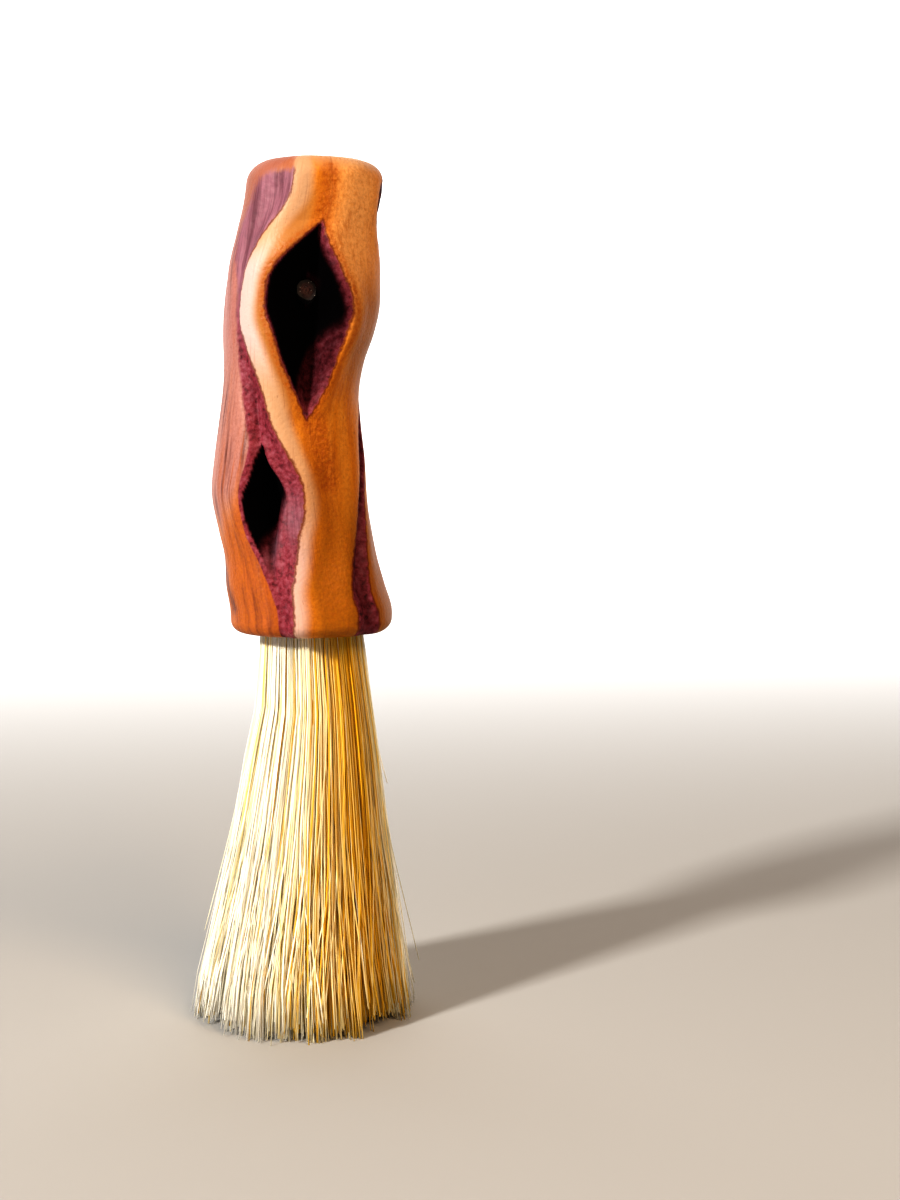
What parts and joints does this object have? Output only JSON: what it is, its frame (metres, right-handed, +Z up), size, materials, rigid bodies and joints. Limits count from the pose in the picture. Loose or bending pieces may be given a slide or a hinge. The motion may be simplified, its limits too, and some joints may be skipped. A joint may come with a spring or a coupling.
{
  "type": "crumb brush",
  "caption": "Round hand brush for crumbs: a peeled diamond willow stick handle with a flared tuft of straight plant fibre set in its end.",
  "frame": {"origin": "on the ground, under the middle of the spread of the fibre tips that the brush stands on", "axes": "+Z up along the brush, from the fibre tips to the end of the handle; the front, with the large upper diamond, faces -Y; +X is to the right as the front is seen"},
  "size_m": [0.0534, 0.0537, 0.212],
  "materials": {
    "willow": "satin",
    "dead_wood": "matte",
    "fibre": "matte",
    "waxed_cord": "matte",
    "glue": "gloss"
  },
  "bodies": {
    "root": {"handle": "willow", "branch_stub": "dead_wood", "bristle_tuft": "fibre", "binding_cord": "waxed_cord", "glue_bed": "glue"}
  },
  "joints": []
}
